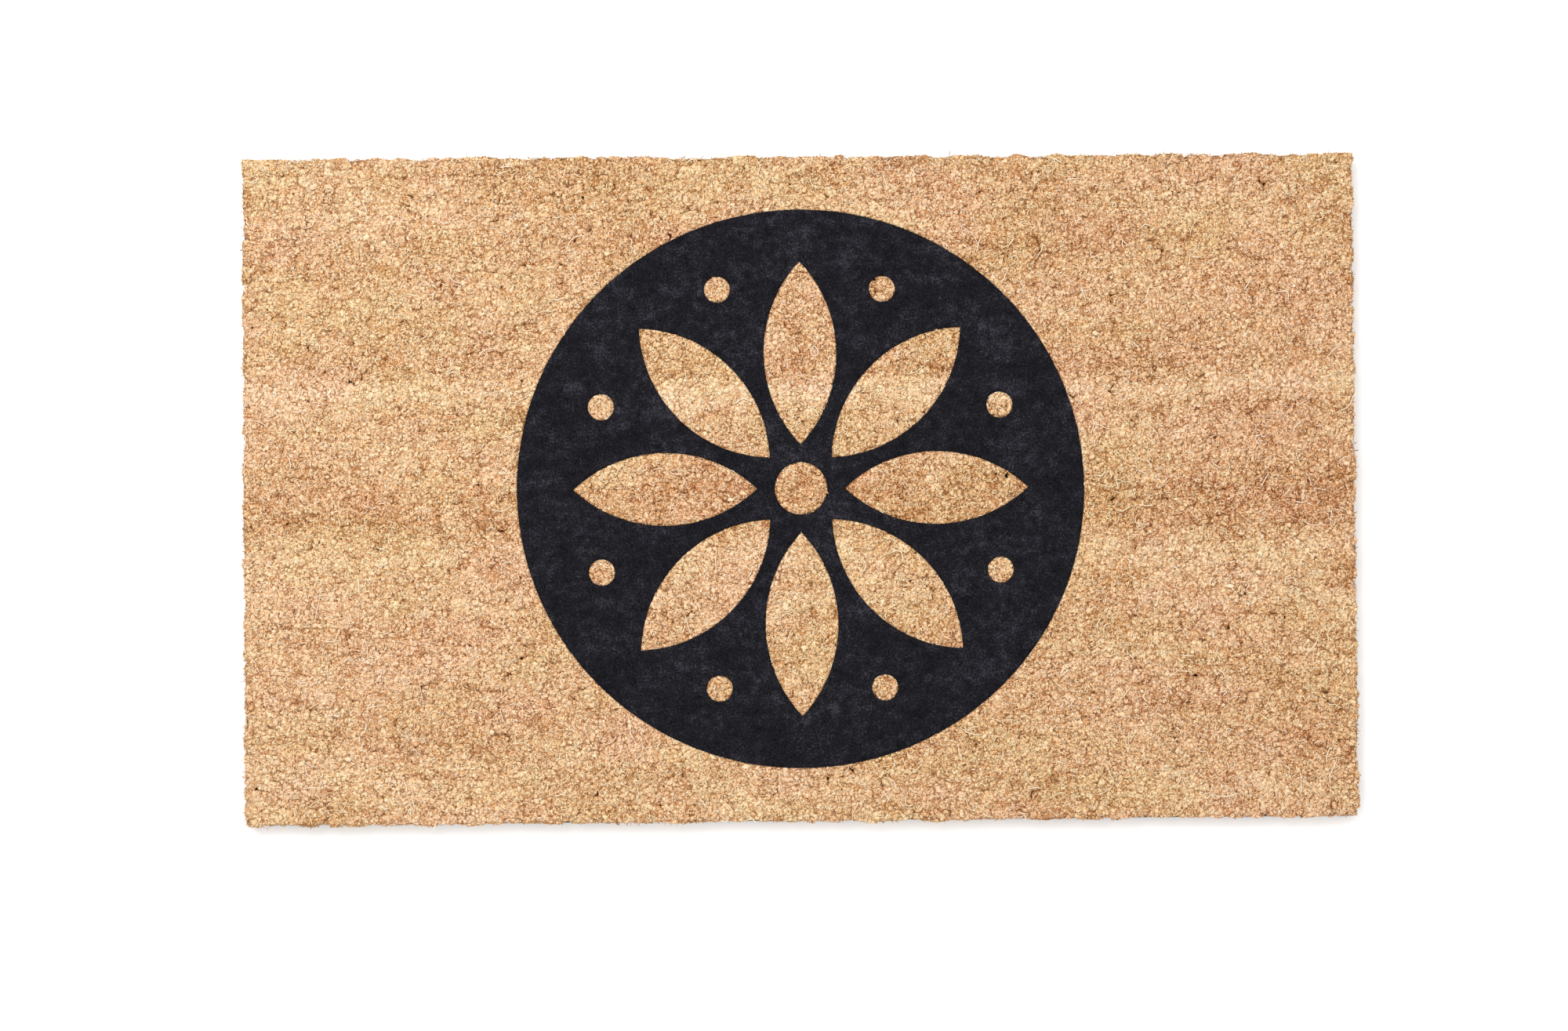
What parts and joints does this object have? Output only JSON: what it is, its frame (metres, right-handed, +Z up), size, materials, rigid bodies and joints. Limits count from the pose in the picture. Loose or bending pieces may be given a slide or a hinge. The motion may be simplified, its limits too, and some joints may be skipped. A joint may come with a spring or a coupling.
{
  "type": "door mat",
  "caption": "Rectangular door mat of upright natural coir tufts set in rows in a flat vinyl backing, with a dark printed disc and an open petal figure in the middle of the pile.",
  "frame": {"origin": "centre of the underside, on the floor", "axes": "+X along the long side, +Y across it towards the far long side, +Z up out of the pile"},
  "size_m": [0.762, 0.456, 0.016],
  "materials": {
    "vinyl_backing": "matte, soft cast vinyl",
    "coir": "rough, cut natural fibre",
    "print_paste": "matte, near-black print paste"
  },
  "bodies": {
    "root": {"backing_sheet": "vinyl_backing", "tuft_rows_01": "coir", "tuft_rows_02": "coir", "tuft_rows_03": "coir", "tuft_rows_04": "coir", "tuft_rows_05": "coir", "tuft_rows_06": "coir", "tuft_rows_07": "coir", "tuft_rows_08": "coir", "tuft_rows_09": "coir", "tuft_rows_10": "coir", "tuft_rows_11": "coir", "tuft_rows_12": "coir", "tuft_rows_13": "coir", "tuft_rows_14": "coir", "tuft_rows_15": "coir", "tuft_rows_16": "coir", "tuft_rows_17": "coir", "tuft_rows_18": "coir", "tuft_rows_19": "coir", "tuft_rows_20": "coir", "tuft_rows_21": "coir", "tuft_rows_22": "coir", "tuft_rows_23": "coir", "tuft_rows_24": "coir", "tuft_rows_25": "coir", "printed_disc": "print_paste"}
  },
  "joints": []
}
